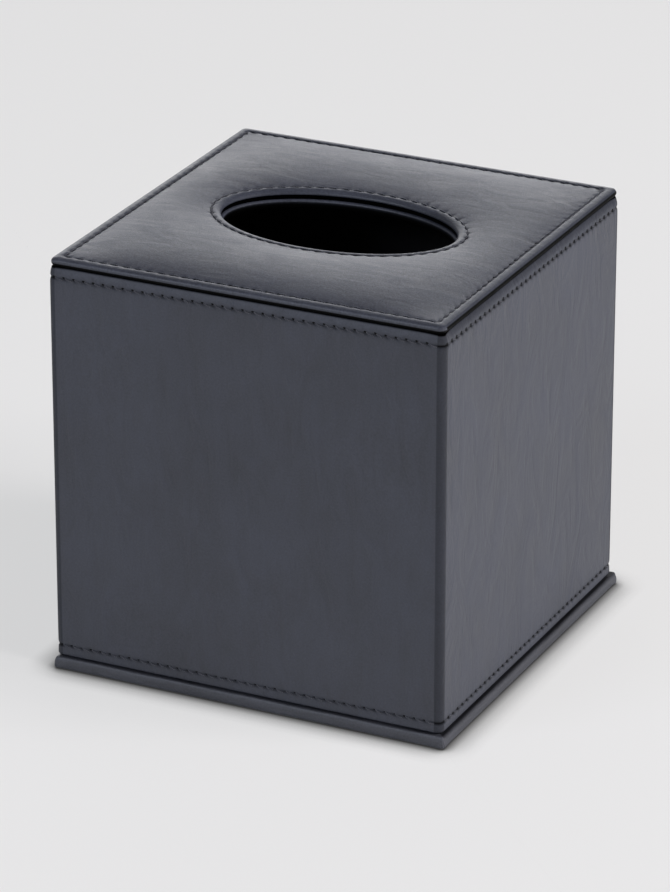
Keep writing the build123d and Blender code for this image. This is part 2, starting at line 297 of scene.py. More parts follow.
def fibreboard(name):
    f = Finish(name)
    chips = f.noise(f.even(700), 5.0, rough=0.7)
    fibres = f.noise(f.stretched(120, 900, 120), 3.0, warp=1.0)
    mixed = (chips * 0.6 + fibres * 0.4).clamp()
    return f.surface(
        Base_Color=f.blend(mixed, (0.16, 0.10, 0.055, 1), (0.46, 0.33, 0.20, 1)),
        Roughness=0.78 + chips * 0.12, Normal=f.bump(chips, 0.12, 0.5),
    )


def open_foam(name):
    f = Finish(name)
    pore = f.cells(f.even(1100))
    colour = f.blend(pore.clamp(), (0.42, 0.41, 0.38, 1), (0.72, 0.71, 0.68, 1))
    return f.surface(Base_Color=colour, Roughness=0.9, Normal=f.bump(pore, 0.4, 0.8))


def twisted_thread(name, tone):
    f = Finish(name)
    strands = f.node(
        "ShaderNodeTexWave", {"bands_direction": "DIAGONAL"},
        {"Vector": f.place, "Scale": 900.0, "Distortion": 1.5, "Detail": 1.0}, 1,
    )
    lint = f.noise(f.even(1800), 2.0)
    mixed = (strands * 0.6 + lint * 0.4).clamp()
    return f.surface(
        Base_Color=f.blend(mixed, grey(tone * 0.5, 0.1), grey(tone * 1.8, 0.1)),
        Roughness=0.7 + lint * 0.2, Normal=f.bump(strands, 0.08, 0.7), Specular_IOR_level=0.25,
    )


def needle_hole_shade(name):
    # painted shade: a nearly black disc standing for the shade inside a needle hole
    f = Finish(name)
    shade_noise = f.noise(f.even(2500), 1.0)
    colour = f.blend(shade_noise, grey(0.002), grey(0.010))
    return f.surface(Base_Color=colour, Roughness=0.9, Specular_IOR_level=0.1)


def nickel(name):
    f = Finish(name)
    lines = f.noise(f.stretched(2600, 90, 2600), 3.0)
    return f.surface(
        Base_Color=f.blend(lines, (0.52, 0.51, 0.49, 1), (0.70, 0.69, 0.66, 1)),
        Metallic=1.0, Roughness=0.24 + lines * 0.18, Normal=f.bump(lines, 0.01, 0.3),
    )


WALL_LEATHER = leather("wall_leather", 0.052, (120, 95, 38), stain=0.42, hand=1.1, speckle=0.7)
PANEL_LEATHER = leather(
    "panel_leather", 0.052, (50, 150, 80), rough=0.40, stain=0.42, hand=0.2, speckle=1.4,
)
BASE_LEATHER = leather("base_leather", 0.070, (60, 60, 220), hand=0.3, blue=0.12)
LINING_SUEDE = suede("lining_suede", 0.020)
UNDER_FELT = felt("under_felt", 0.022)
BOARD = fibreboard("fibreboard")
FOAM = open_foam("open_foam")
THREAD = twisted_thread("waxed_thread", 0.07)
HOLE = needle_hole_shade("needle_hole_shade")
MAGNET = nickel("nickel_plate")


# ---------------------------------------------------------------- meshes

BACK_SIDE, LEFT_SIDE, RIGHT_SIDE = 0, 1, 3  # an Outline's sides; its front is 2


class Outline:
    """Columns round a rounded rectangle, anticlockwise from above, starting on its back side."""

    def __init__(self, half_x, half_y, corner, per_side, per_corner, least=0.35):
        self.half, self.corner, self.least = np.array([half_x, half_y]), corner, least
        columns = []
        even = np.linspace(-1, 1, per_side + 1)[:-1] + 1 / per_side
        for side in range(4):
            turn = math.radians(90 * side)
            for f in even:
                columns.append((side, f, turn + math.pi / 2))
            for k in range(per_corner + 1):
                angle = turn + math.pi / 2 + math.radians(90) * k / per_corner
                columns.append((side, 1.0, angle))
        self.side = np.array([column[0] for column in columns])
        self.f = np.array([column[1] for column in columns])
        self.normal = np.array([(math.cos(angle), math.sin(angle)) for _, _, angle in columns])
        # on the back side f runs towards the left, on the left side towards the front, and so on
        way = np.array([(-1, 0), (0, -1), (1, 0), (0, 1)])[self.side]
        out = np.array([(0, 1), (-1, 0), (0, -1), (1, 0)])[self.side]
        self.core = way * self.f[:, None] + out

    def at(self, inset):
        """The columns' places, drawn in from the outline by an inset for each."""
        inset = np.broadcast_to(inset, self.f.shape)
        r = np.maximum(self.corner - inset, self.least)[:, None]
        return self.core * (self.half - inset[:, None] - r) + r * self.normal

    def along(self):
        """How far each column lies from its side's middle."""
        return self.f * (self.half[0] - self.corner)


def link(name, data):
    """A new object in the scene."""
    made = bpy.data.objects.new(name, data)
    bpy.context.scene.collection.objects.link(made)
    return made


def sheet_mesh(name, grid, closed, finish, keep=None, cap=None, drawn=None):
    """A sheet through a grid of points, rows by columns. Its face is outwards where rows run from
    the middle out and down, and columns anticlockwise from above."""
    rows, cols = grid.shape[:2]
    index = np.arange(rows * cols).reshape(rows, cols)
    after = np.roll(index, -1, 1) if closed else index[:, 1:]
    here = index if closed else index[:, :-1]
    quads = np.stack([here[:-1], here[1:], after[1:], after[:-1]], -1)
    if keep is not None:
        quads = quads[keep[: rows - 1, : quads.shape[1]]]
    faces = quads.reshape(-1, 4).tolist()
    if cap is not None:
        faces.append(index[cap].tolist())
    mesh = bpy.data.meshes.new(name)
    mesh.from_pydata((grid.reshape(-1, 3) * MM).tolist(), [], faces)
    mesh.validate()
    # the drawn attribute holds each point's painted shade, which the leather finishes read
    mark = mesh.attributes.new("drawn", "FLOAT", "POINT")
    if drawn is not None:
        mark.data.foreach_set("value", np.asarray(drawn, np.float32).ravel())
    mesh.polygons.foreach_set("use_smooth", [True] * len(mesh.polygons))
    mesh.materials.append(finish)
    return link(name, mesh)


def evaluated_mesh(piece):
    """A new mesh of what the piece's modifiers make."""
    return bpy.data.meshes.new_from_object(
        piece.evaluated_get(bpy.context.evaluated_depsgraph_get()))


def baked(piece):
    """The piece with its modifiers made part of its mesh, and without points that no edge uses."""
    mesh = evaluated_mesh(piece)
    piece.modifiers.clear()
    piece.data = mesh
    used = {point for edge in mesh.edges for point in edge.vertices}
    if len(used) < len(mesh.vertices):
        work = bmesh.new()
        work.from_mesh(mesh)
        loose = [point for point in work.verts if point.index not in used]
        bmesh.ops.delete(work, geom=loose, context="VERTS")
        work.to_mesh(mesh)
        work.free()


def thick(piece):
    """Gives a sheet the leather's thickness, inward from its face."""
    wall = piece.modifiers.new("thickness", "SOLIDIFY")
    wall.thickness, wall.offset = LEATHER * MM, -1.0
    baked(piece)


def place(piece, body, slot, *nodes):
    """Joins a finished piece to its body, and hides the CAD nodes that it stands for."""
    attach(piece, body)
    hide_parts(*nodes)


SEWN_DEPTH = 0.24


def sewn(across, along, pitch, count, slope=0.0):
    """How deep a sewn row draws the leather in, and the shade painted there: a groove, needle holes
    and short puckers. The painted shade at a hole may slope across the row. A row whose count is 0
    runs all round."""
    turn = along / pitch + count / 2
    stitch = np.round(turn)
    aside = (turn - stitch) * pitch
    near = np.abs(aside)
    groove = 0.55 * hump(across, 0.65)
    hole = 0.75 * hump(across, 0.55) * hump(near, 0.55)
    uneven = 0.75 + 0.5 * np.sin(stitch * 2.39) * np.sin(stitch * 0.61)
    pucker = 0.65 * uneven * hump(near, 0.9) * np.exp(-np.abs(across) / 1.3)
    # painted shade: a little along the groove, and more at each needle hole
    spot = hump(across + slope * aside, 0.45) * hump(near, 0.75 + 0.4 * slope)
    dark = 0.15 * hump(across, 0.45) + 0.45 * spot
    inside = 1.0
    if count:
        inside = step(-0.6, -0.1, turn) * (1 - step(count + 0.1, count + 0.6, turn))
    return inside * SEWN_DEPTH * (groove + hole + pucker), inside * dark


# ---------------------------------------------------------------- the padded panel

OUTLINE = Outline(HALF - PANEL_INSET, HALF - PANEL_INSET, PANEL_CORNER, 187, 4)
PAD_ROWS, CLOTH_ROWS = 40, 26
CLOTH_EVERY = 4  # the cloth has every fourth of the outline's columns
CLOTH_SCALE = 12.0  # and is simulated this many times as large
CLOTH_STEPS = 24


def oval(grow, angle):
    """The opening's ellipse, grown all round, at each column's own angle."""
    return np.stack([(HOLE_A + grow) * np.cos(angle), (HOLE_B + grow) * np.sin(angle)], -1)


def inflated(inner, outer):
    """How high leather held at the ring and the edge stitching swells, by cloth under pressure."""
    t = np.linspace(0, 1, CLOTH_ROWS)
    t = t[:, None, None]
    flat = inner[None, ::CLOTH_EVERY] * (1 - t) + outer[None, ::CLOTH_EVERY] * t
    flat = flat * MM * CLOTH_SCALE
    grid = np.concatenate([flat, np.zeros(flat.shape[:2] + (1,))], -1)
    piece = sheet_mesh("swelling", grid / MM, True, PANEL_LEATHER)
    rows, cols = grid.shape[:2]
    held = piece.vertex_groups.new(name="held")
    held.add([*range(cols), *range((rows - 1) * cols, rows * cols)], 1.0, "REPLACE")
    cloth = piece.modifiers.new("swelling", "CLOTH")
    settings = cloth.settings
    settings.vertex_group_mass = "held"
    settings.quality = 6
    settings.mass = 0.4
    settings.tension_stiffness = settings.compression_stiffness = 25
    settings.shear_stiffness = 12
    settings.bending_stiffness = 1.5
    settings.air_damping = 4
    settings.use_pressure = True
    settings.uniform_pressure_force = 5.0
    settings.effector_weights.gravity = 0
    cloth.point_cache.frame_start, cloth.point_cache.frame_end = 1, CLOTH_STEPS
    scene = bpy.context.scene
    for moment in range(1, CLOTH_STEPS + 1):
        scene.frame_set(moment)
    baked(piece)
    scene.frame_set(1)
    moved = np.zeros(len(piece.data.vertices) * 3)
    piece.data.vertices.foreach_get("co", moved)
    bpy.data.objects.remove(piece)
    return np.abs(moved.reshape(rows, cols, 3)[:, :, 2])


def finer(values, rows, at, width):
    """The swelling on more rows, and on every column, smoothed over a width along the outline."""
    length = at[-1] + at[1] - at[0]
    few = at[::CLOTH_EVERY]
    share = np.abs(np.roll(few, -1) - few) % length + np.abs(few - np.roll(few, 1)) % length
    apart = np.abs(at[:, None] - few[None])
    weight = hump(np.minimum(apart, length - apart), width) * share
    wide = values @ (weight / weight.sum(1, keepdims=True)).T
    old = np.linspace(0, 1, values.shape[0])
    return np.stack([np.interp(rows, old, column) for column in wide.T], 1)


def crown(xy):
    """The pad's form: 0 at both sewn rows, 1 at its highest, turning smoothly into the corners."""
    edge_slope, ring_slope, fullness = 31.0, 27.0, 1.25
    edge = HALF - ROW_INSET - PAD_START - np.abs(xy)
    edge = 1 - (1 - np.clip(edge / edge_slope, 0, 1)) ** 2
    away = np.hypot(xy[..., 0] / (HOLE_A + RING_OFFSET + PAD_START),
                    xy[..., 1] / (HOLE_B + RING_OFFSET + PAD_START))
    ring = np.linalg.norm(xy, axis=-1) * (1 - 1 / away) / ring_slope
    ring = 1 - (1 - np.clip(ring, 0, 1)) ** 2
    form = np.tanh(fullness * edge[..., 0] * edge[..., 1] * ring)
    return form / form.max()


def steps_along(points):
    """The distance from each point of a closed line to the next."""
    return np.linalg.norm(np.roll(points, -1, 0) - points, axis=1)


def panel_rows():
    """The panel's face from its hem round the opening, over the pad, to its hem at the edge, the
    shade painted into it, and which rows are the pad."""
    outer = OUTLINE.at(ROW_INSET - PANEL_INSET + PAD_START)
    angle = np.arctan2(outer[:, 1], outer[:, 0])
    inner = oval(RING_OFFSET + PAD_START, angle)
    t = np.linspace(0, 1, PAD_ROWS)
    pad = inner[None] * (1 - t[:, None, None]) + outer[None] * t[:, None, None]

    # a smooth crown, made uneven by what the cloth does over a few stitches
    steps = steps_along(outer)
    at = np.cumsum(steps) - steps[0]
    swell = inflated(inner, outer)
    swell /= swell.max(0)
    uneven = finer(swell, t, at, 4.5) - finer(swell, t, at, 30.0)
    swell = crown(pad) + 0.35 * uneven

    turns = steps_along(oval(RING_OFFSET, angle))
    ring = (np.cumsum(turns) - turns[0], turns.sum() / RING_STITCHES, 0)
    edge = (OUTLINE.along(), PANEL_PITCH, PANEL_STITCHES)
    grid, shade = [], []

    def add(xy, z, *rows, dark=0.0):
        """One row of the skin, drawn in, and darkened with painted shade, by sewn rows that lie
        at a distance across from it.
        """
        z, dark = z + 0 * angle, dark + 0 * angle
        for across, row in rows:
            depth, darker = sewn(across, *row)
            z, dark = z - depth, dark + darker
        grid.append(np.column_stack([xy, z]))
        shade.append(dark)

    def ring_row(grow, z, *, dark=0.0, drawn=True):
        rows = [(grow - RING_OFFSET, ring)] if drawn else []
        add(oval(grow, angle), z, *rows, dark=dark)

    def edge_row(inset, z, *, dark=0.0, drawn=True):
        rows = [(inset - ROW_INSET, edge)] if drawn else []
        add(OUTLINE.at(inset - PANEL_INSET), z, *rows, dark=dark)

    # the hem under the panel, and a recess below the opening's lip, painted dark as shade
    for grow, z, dark in (
        (8.0, 0.0, 1), (4.0, 0.0, 1), (1.2, 0.0, 1), (0.75, 0.1, 1), (0.6, 0.5, 1), (0.55, 1.0, 1),
        (0.45, 1.4, 1), (0.2, 1.65, 0.7),
    ):
        ring_row(grow, TOP + z, dark=dark, drawn=False)
    # the lip's roll, and a low welt between it and the stitches
    lip_width, lip_height, welt = 2.75, 1.55, 0.07
    for k, turn in enumerate(np.linspace(-8, 90, 11)):
        a = math.radians(turn)
        z = RING_SEAM - lip_height * (1 - math.sin(a)) + welt * math.sin(a) ** 8
        ring_row(lip_width * (1 - math.cos(a)), z, drawn=k > 8)
    for grow in (2.9, 3.05, 3.15, 3.3, 3.45, 3.7):
        ring_row(grow, RING_SEAM + welt * hump(grow - lip_width, 0.4))
    # the pad, whose foot falls from the ring's height to the edge's
    is_pad = slice(len(grid), len(grid) + PAD_ROWS)
    fall = 22
    for xy, height in zip(pad, swell):
        near_ring = np.linalg.norm(xy - inner, axis=1) + PAD_START
        near_edge = np.linalg.norm(xy - outer, axis=1) + PAD_START
        low = EDGE_SEAM + (RING_SEAM - EDGE_SEAM) * (1 - step(0, fall, near_ring))
        add(xy, low + (PANEL_HI[2] - 0.02 - low) * height, (near_ring, ring), (near_edge, edge))
    # the border: a low welt outside the stitches, a slope, and a roll over and in to the seam
    for inset, z in (
        (4.3, 0.0), (4.12, 0.0), (4.0, 0.0), (3.85, 0.05), (3.7, 0.10), (3.45, 0.14), (3.15, 0.16),
        (2.7, 0.15), (2.2, 0.10), (1.75, 0.02),
    ):
        edge_row(inset, EDGE_SEAM + z)
    roll_width, roll_height, roll_drop = 1.1, 1.35, 1.42
    # painted shade on the roll where it turns in to the seam, reaching further round on the right side
    painted_shade_from = np.where(OUTLINE.side == RIGHT_SIDE, 48.0, 82.0)
    for turn in np.linspace(15, 100, 12):
        a = math.radians(turn)
        edge_row(PANEL_INSET + roll_width * (1 - math.sin(a)),
                 EDGE_SEAM - roll_drop + roll_height * math.cos(a),
                 dark=step(0, 18, turn - painted_shade_from))
    # the seam under the roll, painted fully dark as shade
    for inset, z in (
        (0.1, 0.85), (0.24, 0.6), (0.46, 0.36), (0.75, 0.18), (1.1, 0.06), (1.7, 0), (5, 0),
        (12, 0),
    ):
        edge_row(PANEL_INSET + inset, TOP + z, dark=1, drawn=False)
    grid = np.array(grid)
    grid[:, :, 0] += MIDDLE
    return grid, np.array(shade), is_pad


def panel():
    grid, shade, is_pad = panel_rows()
    skin = sheet_mesh("padded_panel_leather", grid, True, PANEL_LEATHER, drawn=shade)
    thick(skin)
    place(skin, "cover", "leather", "panel_leather")

    clear, least = 0.15, 0.3  # between foam and skin, and the foam's least thickness
    over = grid[is_pad].copy()
    floor = cad("foam_pad")[0][2]
    over[:, :, 2] = np.maximum(over[:, :, 2] - LEATHER - clear, floor + least)
    under = over[::-1].copy()
    under[:, :, 2] = floor
    foam = sheet_mesh("foam_under_leather", np.concatenate([over, under, over[:1]]), True, FOAM)
    place(foam, "cover", "foam", "foam_pad")


# ---------------------------------------------------------------- the walls' leather

WALLS = Outline(HALF, HALF, CORNER, 5 * WALL_STITCHES, 8, least=0.3)


def slack(grid, amount, seed):
    """A soft, slow unevenness of leather over board, as a shift for each point."""
    rng = np.random.default_rng(seed)
    out = np.zeros(grid.shape[:2])
    for _ in range(9):
        way = rng.normal(size=3)
        way *= rng.uniform(0.05, 0.16) / np.linalg.norm(way)
        out += np.sin(grid @ way + rng.uniform(0, 6.3))
    return amount * out / 3


def wall_profile():
    """The walls' skin from its hem over the top to its hem inside the foot: inset, height, and
    whether a sewn row draws it in."""
    profile = [(12.7, TOP, False), (6.0, TOP, False), (3.2, TOP, False)]
    # the skin leans in towards the top, and turns over it
    lean_height, lean, over = 3.5, 1.35, 0.5
    for drop in (0.0, 0.12, 0.3, 0.55, 0.85, 1.2, 1.6, 2.0, 2.4, 2.75, 3.05, 3.3):
        inset = lean * (1 - drop / lean_height) ** 1.5 + over * max(0.0, 1 - drop / 0.3) ** 2
        profile.append((inset, TOP - drop, drop > 2.2))
    heights = [UPPER_ROW + z for z in (0.3, 0.1, -0.1, -0.35, -0.8, -1.5, -2.6)]
    heights += [*np.linspace(UPPER_ROW - 6, FOOT_ROW + 6, 17)]
    heights += [FOOT_ROW + z for z in (2.6, 1.5, 0.8, 0.35, 0, -0.35, -0.8, -1.5)]
    profile += [(0, z, True) for z in heights]
    profile += [(FOOT_ROLL * x, FOOT + FOOT_ROLL * z, False) for x, z in quarter(5)]
    inside = LEATHER + WALL_BOARD + LEATHER
    for inset, rise in (
        (inside - 0.5, 0), (inside - 0.1, 0.15), (inside, 0.5), (inside, FOOT_HEM / 2),
        (inside, FOOT_HEM),
    ):
        profile.append((inset, FOOT + rise, False))
    return profile


def wall_skin():
    """One skin round the four walls, with its butt joint at the back."""
    from_joint = np.abs(WALLS.at(0)[:, 0] + HALF - BUTT_JOINT)
    joint = int(np.argmin(from_joint + 999 * (WALLS.side != BACK_SIDE)))
    order = np.roll(np.arange(len(WALLS.f)), -joint)
    along, right = WALLS.along(), WALLS.side == RIGHT_SIDE
    reach = np.abs(WALLS.f)  # 0 at a side's middle, and 1 at its corner
    grid, shade = [], []
    for inset, z, stitched in wall_profile():
        if 0 < inset < 2.0 and z > UPPER_ROW:
            inset = inset * (1 - 0.45 * step(0.93, 1.0, reach))
        # painted shade: dark in the seam at the top, reaching lower on the right side; a darker band
        # below the seam on the right side; darker upright corners; and the stitches' painted shade,
        # stronger on the right side
        dark = step(TOP - 0.7 + 0.35 * right, TOP - 0.1, z)
        dark = dark + 0.22 * step(TOP - 3.2, TOP - 0.6, z) * right + 0.34 * (reach >= 1)
        for row in (UPPER_ROW, FOOT_ROW) if stitched else ():
            depth, darker = sewn(z - row, along, WALL_PITCH, WALL_STITCHES, slope=0.5)
            inset, dark = inset + depth, dark + darker * (1 + 0.9 * right)
        xy = WALLS.at(inset)
        grid.append(np.column_stack([xy[:, 0] + MIDDLE, xy[:, 1], np.full(len(xy), z)]))
        shade.append(dark)
    grid, shade = np.array(grid), np.array(shade)
    z = grid[:, :, 2]
    flat = step(FOOT + 2.0, FOOT + 14.0, z) * (1 - step(TOP - 14.0, TOP - 5.0, z))
    flat *= 1 - step(0.90, 1.0, reach)[None]
    shift = slack(grid, 0.10, 11) * flat
    grid[:, :, :2] += WALLS.normal[None] * shift[:, :, None]
    skin = sheet_mesh("wall_skin", grid[:, order], False, WALL_LEATHER, drawn=shade[:, order])
    thick(skin)
    place(skin, "cover", "leather", "side_leather")


def hinge():
    """The skin's tail at the left: down from the wall, round the base's edge and under it."""
    across = np.linspace(HINGE_LO[1], HINGE_HI[1], 90)
    z0 = HINGE_LO[2]
    tail = [
        (0.0, FOOT + 1.0), (0.0, FOOT + 0.8), (0.02, FOOT + 0.6), (0.06, FOOT + 0.4),
        (0.10, FOOT + 0.2), (0.13, FOOT + 0.05), (0.15, FOLD - 0.05), (0.2, FOLD - 0.2),
        (0.26, FOLD - 0.45), (0.32, FOLD - 0.8), (0.36, FOLD - 1.4), (0.36, FOLD - 2.1),
        (0.28, z0 + 1.2),
    ]
    tail += [(0.22 - FOOT_ROLL * x, z0 + FOOT_ROLL * z) for x, z in quarter(5)]
    tail += [(-4.0, z0), (-9.0, z0), (-BASE_HEM, z0)]
    grid = np.zeros((len(tail), len(across), 3))
    for row, (out, z) in enumerate(tail):
        grid[row, :, 0], grid[row, :, 1], grid[row, :, 2] = LEFT - out, across, z
    grid[:, :, 0] -= 0.05 * np.sin(across * 0.31)[None] * step(0.02, 0.3, LEFT - grid[:, :, 0])
    strip = sheet_mesh("hinge_strip", grid[:, ::-1], False, WALL_LEATHER)
    thick(strip)
    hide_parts("hinge_leather")
    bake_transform(strip)


def rim():
    """Leather round the edge of the carcass's own opening, painted dark below its roll as shade."""
    angle = np.linspace(0, 2 * math.pi, 241)[:-1]
    (_, _, low), (_, _, high) = cad("opening_rim_leather")
    roll = 0.85
    # each row: how far it is grown, its height, and its painted shade
    rows = [
        (5.4, low, 1), (2.0, low, 1), (0.25, low, 1), (0.06, low + 0.2, 1), (0.0, low + 0.6, 1),
        (0.0, low + 1.0, 1), (0.0, low + 1.3, 1),
    ]
    for k, (x, z) in enumerate(quarter(7)):
        rows.append((roll * x, high - roll * z, max(0.0, 0.7 - 0.4 * k)))
    rows += [(1.2, high, 0.8), (1.8, high, 1), (5.0, high, 1), (7.4, high, 1)]
    grid = np.array([
        np.column_stack([oval(grow - RIM_STEP, angle), np.full(len(angle), z)])
        for grow, z, _ in rows
    ])
    grid[:, :, 0] += MIDDLE
    dark = np.array([[row[2]] * len(angle) for row in rows])
    skin = sheet_mesh("rim_skin", grid, True, PANEL_LEATHER, drawn=dark)
    thick(skin)
    place(skin, "cover", "leather", "opening_rim_leather")


# ---------------------------------------------------------------- the base

BASE_HALF = (BASE_HI[:2] - BASE_LO[:2]) / 2
BASE = Outline(BASE_HALF[0], BASE_HALF[1], BASE_CORNER, 150, 12, least=0.25)


def base_skin():
    """Leather over the base plate, turned under, with pleats at its folded corners."""
    z1, z0 = BASE_HI[2], BASE_LO[2]
    rows_inside = 3  # rows of the face that keep their full width at the hinge
    face, roll_width, roll_height = 14.0, 0.8, 2.0
    profile = [(face, z1), (6.0, z1), (3.0, z1), (1.3, z1)]
    profile += [(roll_width * x, z1 - roll_height * z) for z, x in quarter(8)]
    profile += [(0, z1 - 2.4), (0, z1 - 2.8)]
    profile += [(FOOT_ROLL * x, z0 + FOOT_ROLL * z) for x, z in quarter(5)]
    profile += [(3.0, z0), (8.0, z0), (LEATHER + BASE_HEM, z0)]
    reach, right = np.abs(BASE.f), BASE.side == RIGHT_SIDE
    turn = np.arctan2(BASE.normal[:, 1], BASE.normal[:, 0])
    corner = np.where(reach >= 1.0, 1.0, 0.0)
    tip = hump((1 - reach) * BASE_HALF[0], 2.2)
    grid, shade = [], []
    for inset, z in profile:
        # painted shade under the walls' foot, and down the edge at the right side
        shade_under_foot = 0.3 + 0.4 * right
        right_edge_shade = 0.45 * step(-0.2, 0.8, inset) * (z > z1 - 2.5) * right
        shade.append(np.where(1.0 < inset < 2.5, shade_under_foot, right_edge_shade))
        low = 1 - step(z1 - 2.8, z1 - 0.3, z)
        pleat = 0.14 * np.sin(turn * 9 + z * 1.9) * corner * low
        proud = 0.16 * tip * low * (inset < 2.0)
        xy = BASE.at(np.maximum(inset - proud - pleat * (inset < 2.0), -0.3))
        grid.append(np.column_stack([xy, np.full(len(xy), z)]))
    grid = np.array(grid)
    grid[:, :, 0] += (BASE_LO[0] + BASE_HI[0]) / 2
    wave = 0.06 * np.sin(grid[:, :, 0] * 0.21 + grid[:, :, 1] * 0.17)
    outside = np.array([inset < 1.2 for inset, _ in profile])[:, None]
    grid[:, :, 2] += wave * (grid[:, :, 2] > z1 - 0.8) * outside
    # the left edge belongs to the hinge strip, between the hinge's ends
    hinge_end = HINGE_HI[1] * (BASE_HALF[1] - face) / BASE_HALF[1]
    notch = (BASE.side == LEFT_SIDE) & (np.abs(grid[0, :, 1]) < hinge_end)
    keep = np.ones(grid.shape[:2], bool)
    keep[rows_inside:, notch] = False
    grid[rows_inside, notch, 0] = BASE_LO[0] + LEATHER
    skin = sheet_mesh("base_skin", grid, True, BASE_LEATHER, keep, cap=0, drawn=np.array(shade))
    thick(skin)
    place(skin, "base", "leather", "base_leather")


# ---------------------------------------------------------------- stitching


def sewn_row_tree():
    """Geometry nodes: threads and needle holes, evenly spaced along each path."""
    tree = bpy.data.node_groups.new("sewn_row", "GeometryNodeTree")
    tree.is_modifier = True
    asked = {}
    for name, kind, default in (
        ("Paths", "NodeSocketGeometry", None), ("Stitches", "NodeSocketInt", 10),
        ("Length", "NodeSocketFloat", 0.0026), ("Thread", "NodeSocketFloat", 0.0002),
        ("Rise", "NodeSocketFloat", 0.0004), ("Slant", "NodeSocketFloat", 0.1),
        ("Hole", "NodeSocketFloat", 0.0003), ("Upright", "NodeSocketFloat", 0.0),
        ("Seed", "NodeSocketInt", 1), ("Thread finish", "NodeSocketMaterial", None),
        ("Hole finish", "NodeSocketMaterial", None),
    ):
        socket = tree.interface.new_socket(name, in_out="INPUT", socket_type=kind)
        if default is not None:
            socket.default_value = default
        asked[name] = socket.identifier
    tree.interface.new_socket("Sewn", in_out="OUTPUT", socket_type="NodeSocketGeometry")
    start = tree.nodes.new("NodeGroupInput")
    end = tree.nodes.new("NodeGroupOutput")

    def node(kind, settings=None, sockets=None, out=0):
        """A node's output. A socket's text value names one of the tree's inputs."""
        linked = {key: start.outputs[value] if isinstance(value, str) else value
                  for key, value in (sockets or {}).items()}
        return add_node(tree, kind, settings, linked).outputs[out]

    def times(a, b):
        return node("ShaderNodeMath", {"operation": "MULTIPLY"}, {0: a, 1: b})

    def vector(x=0.0, y=0.0, z=0.0):
        return node("ShaderNodeCombineXYZ", None, {0: x, 1: y, 2: z})

    def at_stations(instance):
        return node("GeometryNodeInstanceOnPoints", None,
                    {"Points": stations, "Instance": instance, "Rotation": lie})

    # a station in the middle of each stitch, and how the stitch lies there
    stations = node("GeometryNodeResampleCurve", {"mode": "COUNT"},
                    {"Curve": "Paths", "Count": "Stitches"})
    up, askew = (0, 0, 1), 0.045
    way = node("GeometryNodeInputTangent")
    sideways = node("ShaderNodeVectorMath", {"operation": "CROSS_PRODUCT"}, {0: way, 1: up})
    facing = node("ShaderNodeMix", {"data_type": "VECTOR"}, {0: "Upright", 4: up, 5: sideways}, 1)
    lie = node("FunctionNodeAxesToRotation", {"primary_axis": "X", "secondary_axis": "Z"},
               {"Primary Axis": way, "Secondary Axis": facing})
    uneven = node("FunctionNodeRandomValue", {"data_type": "FLOAT"},
                  {2: -askew, 3: askew, "Seed": "Seed"}, 1)
    slant = node("ShaderNodeMath", {"operation": "ADD"}, {0: uneven, 1: "Slant"})
    slanted = node("FunctionNodeEulerToRotation", None, {0: vector(z=slant)})
    lie = node("FunctionNodeRotateRotation", {"rotation_space": "LOCAL"}, {0: lie, 1: slanted})

    # the thread: a bow from below the leather, over it and down again
    half = times("Length", 0.5)
    low = times("Rise", -0.75)
    back = times(half, -1.0)
    bow = node("GeometryNodeCurveQuadraticBezier", None, {
        "Resolution": 7, "Start": vector(back, 0.0, low), "Middle": vector(0.0, 0.0, "Rise"),
        "End": vector(half, 0.0, low),
    })
    ring = node("GeometryNodeCurvePrimitiveCircle", None, {"Resolution": 6, "Radius": "Thread"})
    thread = node("GeometryNodeCurveToMesh", None,
                  {"Curve": bow, "Profile Curve": ring, "Fill Caps": True})

    # the needle hole: a flat dark spot of painted shade just before the bow's start
    spot = node("GeometryNodeMeshCircle", {"fill_type": "NGON"}, {"Vertices": 7, "Radius": "Hole"})
    spot = node("GeometryNodeTransform", None, {
        "Geometry": spot, "Translation": vector(times(back, 1.22), 0.0, times(low, 0.5)),
        "Scale": (2.0, 1.0, 1.0),
    })
    joined = tree.nodes.new("GeometryNodeJoinGeometry")
    for piece, finish in ((thread, "Thread finish"), (spot, "Hole finish")):
        solid = node("GeometryNodeRealizeInstances", None, {"Geometry": at_stations(piece)})
        solid = node("GeometryNodeSetMaterial", None, {"Geometry": solid, "Material": finish})
        tree.links.new(solid, joined.inputs[0])
    tree.links.new(joined.outputs[0], end.inputs[0])
    return tree, asked


SEWN_ROW, ASKED = sewn_row_tree()


def sew(name, node, paths, closed, **sizes):
    """A row of stitches along paths, as one plain mesh that stands for a CAD node."""
    curve = bpy.data.curves.new(name, "CURVE")
    curve.dimensions = "3D"
    for points in paths:
        line = curve.splines.new("POLY")
        line.points.add(len(points) - 1)
        placed = np.column_stack([np.array(points) * MM, np.ones(len(points))])
        line.points.foreach_set("co", placed.ravel())
        line.use_cyclic_u = closed
    path = link(name, curve)
    modifier = path.modifiers.new("sewn", "NODES")
    modifier.node_group = SEWN_ROW
    for asked, value in {"Thread finish": THREAD, "Hole finish": HOLE, **sizes}.items():
        modifier[ASKED[asked]] = value
    mesh = evaluated_mesh(path)
    bpy.data.objects.remove(path)
    place(link(name, mesh), "cover", "thread", node)


def sides(row, pitch, offset, z):
    """Four straight paths round a square, anticlockwise, from first stitch to last."""
    reach = (row - pitch) / 2
    made = []
    for turn in range(4):
        spin = Matrix.Rotation(math.radians(90 * turn), 3, "Z")
        ends = [spin @ Vector((x, -offset, z)) for x in (-reach, reach)]
        made.append([(p.x + MIDDLE, p.y, p.z) for p in ends])
    return made


